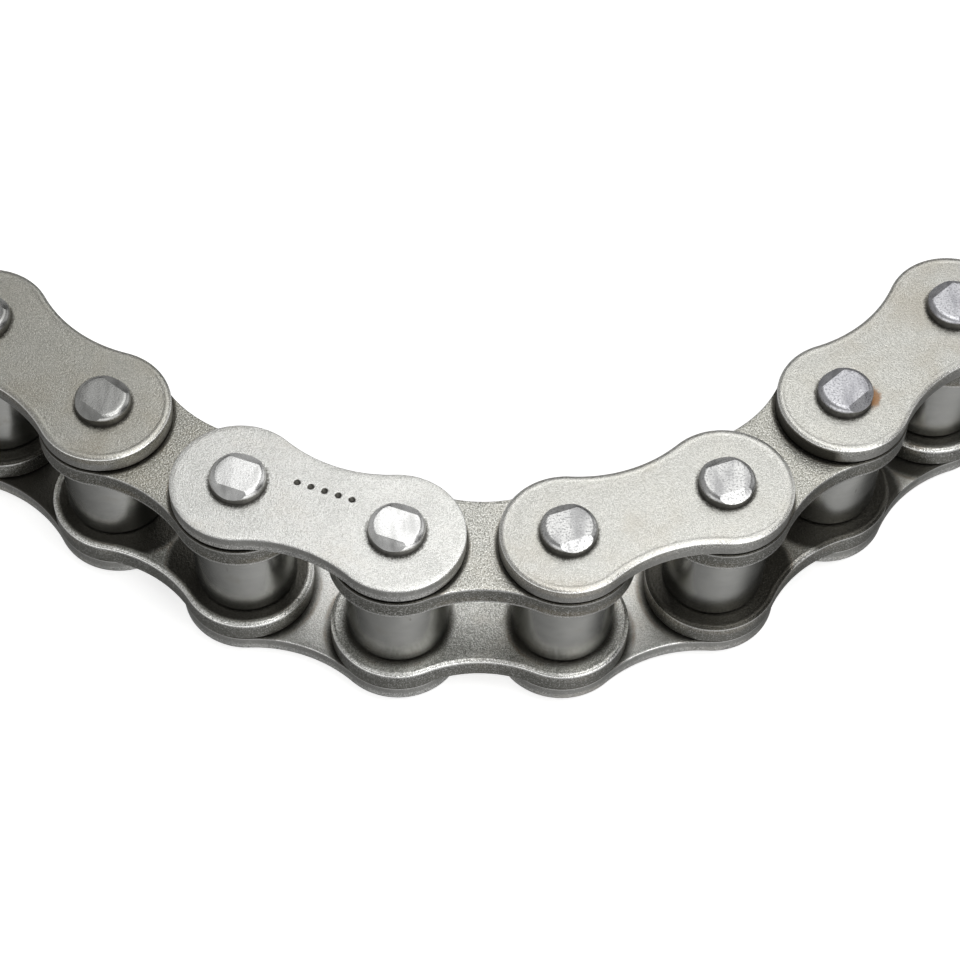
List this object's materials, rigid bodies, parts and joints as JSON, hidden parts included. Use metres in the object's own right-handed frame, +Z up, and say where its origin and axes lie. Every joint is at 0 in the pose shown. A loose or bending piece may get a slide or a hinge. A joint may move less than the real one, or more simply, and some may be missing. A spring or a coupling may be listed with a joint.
{
  "type": "roller chain",
  "caption": "Steel single-strand roller chain, a short length lying on its side in a shallow curve, with riveted pins, free-turning rollers and waisted side plates.",
  "frame": {"origin": "under the middle of the chain's bounding box, level with the lower ends of the pins", "axes": "+Z up along the pins, +X along the chain from its left end to its right end"},
  "size_m": [0.2116, 0.0816, 0.0359],
  "materials": {
    "outer_plate_steel": "shot-blasted, matt, light warm grey",
    "inner_plate_steel": "shot-blasted, matt, with a film of oil",
    "roller_steel": "smooth satin, oiled",
    "pin_steel": "bright riveted ends",
    "bush_steel": "ground, oiled"
  },
  "bodies": {
    "inner_link_1": {"inner_link_1_top_plate": "inner_plate_steel", "inner_link_1_bottom_plate": "inner_plate_steel", "bush_left_end": "bush_steel", "bush_1": "bush_steel"},
    "outer_link_1": {"outer_link_1_top_plate": "outer_plate_steel", "outer_link_1_bottom_plate": "outer_plate_steel", "pin_1": "pin_steel", "pin_2": "pin_steel"},
    "inner_link_2": {"inner_link_2_top_plate": "inner_plate_steel", "inner_link_2_bottom_plate": "inner_plate_steel", "bush_2": "bush_steel", "bush_3": "bush_steel"},
    "outer_link_2": {"outer_link_2_top_plate": "outer_plate_steel", "outer_link_2_bottom_plate": "outer_plate_steel", "pin_3": "pin_steel", "pin_4": "pin_steel"},
    "inner_link_3": {"inner_link_3_top_plate": "inner_plate_steel", "inner_link_3_bottom_plate": "inner_plate_steel", "bush_4": "bush_steel", "bush_5": "bush_steel"},
    "outer_link_3": {"outer_link_3_top_plate": "outer_plate_steel", "outer_link_3_bottom_plate": "outer_plate_steel", "pin_5": "pin_steel", "pin_6": "pin_steel"},
    "inner_link_4": {"inner_link_4_top_plate": "inner_plate_steel", "inner_link_4_bottom_plate": "inner_plate_steel", "bush_6": "bush_steel", "bush_7": "bush_steel"},
    "outer_link_4": {"outer_link_4_top_plate": "outer_plate_steel", "outer_link_4_bottom_plate": "outer_plate_steel", "pin_7": "pin_steel", "pin_8": "pin_steel"},
    "inner_link_5": {"inner_link_5_top_plate": "inner_plate_steel", "inner_link_5_bottom_plate": "inner_plate_steel", "bush_8": "bush_steel", "bush_right_end": "bush_steel"},
    "roller_left_end": {"roller_left_end": "roller_steel"},
    "roller_1": {"roller_1": "roller_steel"},
    "roller_2": {"roller_2": "roller_steel"},
    "roller_3": {"roller_3": "roller_steel"},
    "roller_4": {"roller_4": "roller_steel"},
    "roller_5": {"roller_5": "roller_steel"},
    "roller_6": {"roller_6": "roller_steel"},
    "roller_7": {"roller_7": "roller_steel"},
    "roller_8": {"roller_8": "roller_steel"},
    "roller_right_end": {"roller_right_end": "roller_steel"}
  },
  "joints": [
    {"name": "pivot_1", "type": "hinge", "parent": "outer_link_1", "child": "inner_link_1", "pos_m": [-0.07672, 0.00646, 0.01795], "axis": [0, 0, -1], "range_deg": [-96, 84]},
    {"name": "pivot_2", "type": "hinge", "parent": "inner_link_2", "child": "outer_link_1", "pos_m": [-0.05641, -0.00879, 0.01795], "axis": [0, 0, 1], "range_deg": [-84.95, 95.05]},
    {"name": "pivot_3", "type": "hinge", "parent": "outer_link_2", "child": "inner_link_2", "pos_m": [-0.03484, -0.02219, 0.01795], "axis": [0, 0, -1], "range_deg": [-103.35, 76.65]},
    {"name": "pivot_4", "type": "hinge", "parent": "inner_link_3", "child": "outer_link_2", "pos_m": [-0.01075, -0.03026, 0.01795], "axis": [0, 0, 1], "range_deg": [-69.6, 110.4]},
    {"name": "pivot_5", "type": "hinge", "parent": "inner_link_3", "child": "outer_link_3", "pos_m": [0.01464, -0.02941, 0.01795], "axis": [0, 0, 1], "range_deg": [-109.9, 70.1]},
    {"name": "pivot_6", "type": "hinge", "parent": "outer_link_3", "child": "inner_link_4", "pos_m": [0.03822, -0.01998, 0.01795], "axis": [0, 0, -1], "range_deg": [-68.8, 111.2]},
    {"name": "pivot_7", "type": "hinge", "parent": "inner_link_4", "child": "outer_link_4", "pos_m": [0.0568, -0.00266, 0.01795], "axis": [0, 0, 1], "range_deg": [-91.5, 88.5]},
    {"name": "pivot_8", "type": "hinge", "parent": "outer_link_4", "child": "inner_link_5", "pos_m": [0.07491, 0.01515, 0.01795], "axis": [0, 0, -1], "range_deg": [-98, 82]},
    {"name": "roller_left_end_spin", "type": "hinge", "parent": "inner_link_1", "child": "roller_left_end", "pos_m": [-0.09533, 0.02375, 0.01795], "axis": [0, 0, 1], "continuous": true},
    {"name": "roller_1_spin", "type": "hinge", "parent": "inner_link_1", "child": "roller_1", "pos_m": [-0.07672, 0.00646, 0.01795], "axis": [0, 0, 1], "continuous": true},
    {"name": "roller_2_spin", "type": "hinge", "parent": "inner_link_2", "child": "roller_2", "pos_m": [-0.05641, -0.00879, 0.01795], "axis": [0, 0, 1], "continuous": true},
    {"name": "roller_3_spin", "type": "hinge", "parent": "inner_link_2", "child": "roller_3", "pos_m": [-0.03484, -0.02219, 0.01795], "axis": [0, 0, 1], "continuous": true},
    {"name": "roller_4_spin", "type": "hinge", "parent": "inner_link_3", "child": "roller_4", "pos_m": [-0.01075, -0.03026, 0.01795], "axis": [0, 0, 1], "continuous": true},
    {"name": "roller_5_spin", "type": "hinge", "parent": "inner_link_3", "child": "roller_5", "pos_m": [0.01464, -0.02941, 0.01795], "axis": [0, 0, 1], "continuous": true},
    {"name": "roller_6_spin", "type": "hinge", "parent": "inner_link_4", "child": "roller_6", "pos_m": [0.03822, -0.01998, 0.01795], "axis": [0, 0, 1], "continuous": true},
    {"name": "roller_7_spin", "type": "hinge", "parent": "inner_link_4", "child": "roller_7", "pos_m": [0.0568, -0.00266, 0.01795], "axis": [0, 0, 1], "continuous": true},
    {"name": "roller_8_spin", "type": "hinge", "parent": "inner_link_5", "child": "roller_8", "pos_m": [0.07491, 0.01515, 0.01795], "axis": [0, 0, 1], "continuous": true},
    {"name": "roller_right_end_spin", "type": "hinge", "parent": "inner_link_5", "child": "roller_right_end", "pos_m": [0.09533, 0.03026, 0.01795], "axis": [0, 0, 1], "continuous": true}
  ]
}
